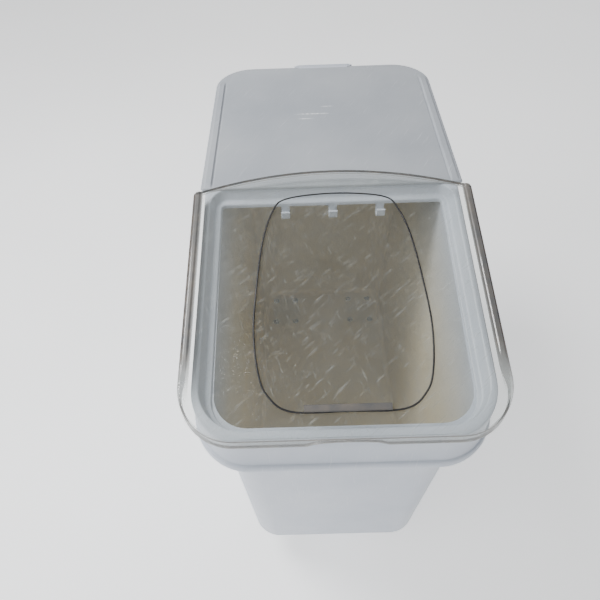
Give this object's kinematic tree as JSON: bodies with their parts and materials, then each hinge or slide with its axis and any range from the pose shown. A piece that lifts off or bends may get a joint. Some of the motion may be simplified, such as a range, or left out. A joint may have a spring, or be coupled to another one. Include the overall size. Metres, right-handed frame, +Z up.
{
  "type": "pet food bin",
  "caption": "White tub on casters with a slanted front opening, a clear front lid that slides back over a flat rear lid.",
  "frame": {"origin": "on the floor below the middle of the bin", "axes": "+Z up, +Y towards the rear, front opening towards -Y, +X right seen from the front"},
  "size_m": [0.406, 0.75, 0.7192],
  "materials": {
    "white_polyethylene": "satin moulded",
    "white_lid": "fine matt moulded",
    "clear_polycarbonate": "clear, finely scratched",
    "zinc_steel": "zinc plated",
    "grey_polypropylene": "moulded",
    "caster_rubber": "matt"
  },
  "bodies": {
    "tub": {"bin_body": "white_polyethylene", "hook_bar": "white_polyethylene", "front_left_top_plate": "zinc_steel", "front_left_kingpin": "zinc_steel", "front_left_bearing_balls": "zinc_steel", "front_left_plate_bolts": "zinc_steel", "front_left_plate_nuts": "zinc_steel", "front_right_top_plate": "zinc_steel", "front_right_kingpin": "zinc_steel", "front_right_bearing_balls": "zinc_steel", "front_right_plate_bolts": "zinc_steel", "front_right_plate_nuts": "zinc_steel", "rear_left_bracket": "zinc_steel", "rear_left_axle": "zinc_steel", "rear_left_axle_nut": "zinc_steel", "rear_left_axle_bush": "zinc_steel", "rear_left_plate_bolts": "zinc_steel", "rear_left_plate_nuts": "zinc_steel", "rear_right_bracket": "zinc_steel", "rear_right_axle": "zinc_steel", "rear_right_axle_nut": "zinc_steel", "rear_right_axle_bush": "zinc_steel", "rear_right_plate_bolts": "zinc_steel", "rear_right_plate_nuts": "zinc_steel"},
    "rear_cover": {"rear_lid": "white_lid"},
    "front_cover": {"clear_lid": "clear_polycarbonate"},
    "front_left_swivel": {"front_left_fork": "zinc_steel", "front_left_axle": "zinc_steel", "front_left_axle_nut": "zinc_steel", "front_left_axle_bush": "zinc_steel"},
    "front_left_wheel": {"front_left_wheel_core": "grey_polypropylene", "front_left_tyre": "caster_rubber"},
    "front_right_swivel": {"front_right_fork": "zinc_steel", "front_right_axle": "zinc_steel", "front_right_axle_nut": "zinc_steel", "front_right_axle_bush": "zinc_steel"},
    "front_right_wheel": {"front_right_wheel_core": "grey_polypropylene", "front_right_tyre": "caster_rubber"},
    "rear_left_wheel": {"rear_left_wheel_core": "grey_polypropylene", "rear_left_tyre": "caster_rubber"},
    "rear_right_wheel": {"rear_right_wheel_core": "grey_polypropylene", "rear_right_tyre": "caster_rubber"}
  },
  "joints": [
    {"name": "rear_lid_lift", "type": "slide", "parent": "tub", "child": "rear_cover", "axis": [0, 0, 1], "range_m": [0, 0.1]},
    {"name": "clear_lid_slide", "type": "hinge", "parent": "rear_cover", "child": "front_cover", "pos_m": [0, 0.154, -0.71827], "axis": [-1, 0, 0], "range_deg": [0, 12.1]},
    {"name": "front_left_turn", "type": "hinge", "parent": "tub", "child": "front_left_swivel", "pos_m": [-0.095, -0.24, 0.088], "axis": [0, 0, 1], "continuous": true},
    {"name": "front_left_wheel_spin", "type": "hinge", "parent": "front_left_swivel", "child": "front_left_wheel", "pos_m": [-0.095, -0.21, 0.038], "axis": [1, 0, 0], "continuous": true},
    {"name": "front_right_turn", "type": "hinge", "parent": "tub", "child": "front_right_swivel", "pos_m": [0.095, -0.24, 0.088], "axis": [0, 0, 1], "continuous": true},
    {"name": "front_right_wheel_spin", "type": "hinge", "parent": "front_right_swivel", "child": "front_right_wheel", "pos_m": [0.095, -0.21, 0.038], "axis": [1, 0, 0], "continuous": true},
    {"name": "rear_left_wheel_spin", "type": "hinge", "parent": "tub", "child": "rear_left_wheel", "pos_m": [-0.095, 0.262, 0.038], "axis": [1, 0, 0], "continuous": true},
    {"name": "rear_right_wheel_spin", "type": "hinge", "parent": "tub", "child": "rear_right_wheel", "pos_m": [0.095, 0.262, 0.038], "axis": [1, 0, 0], "continuous": true}
  ]
}
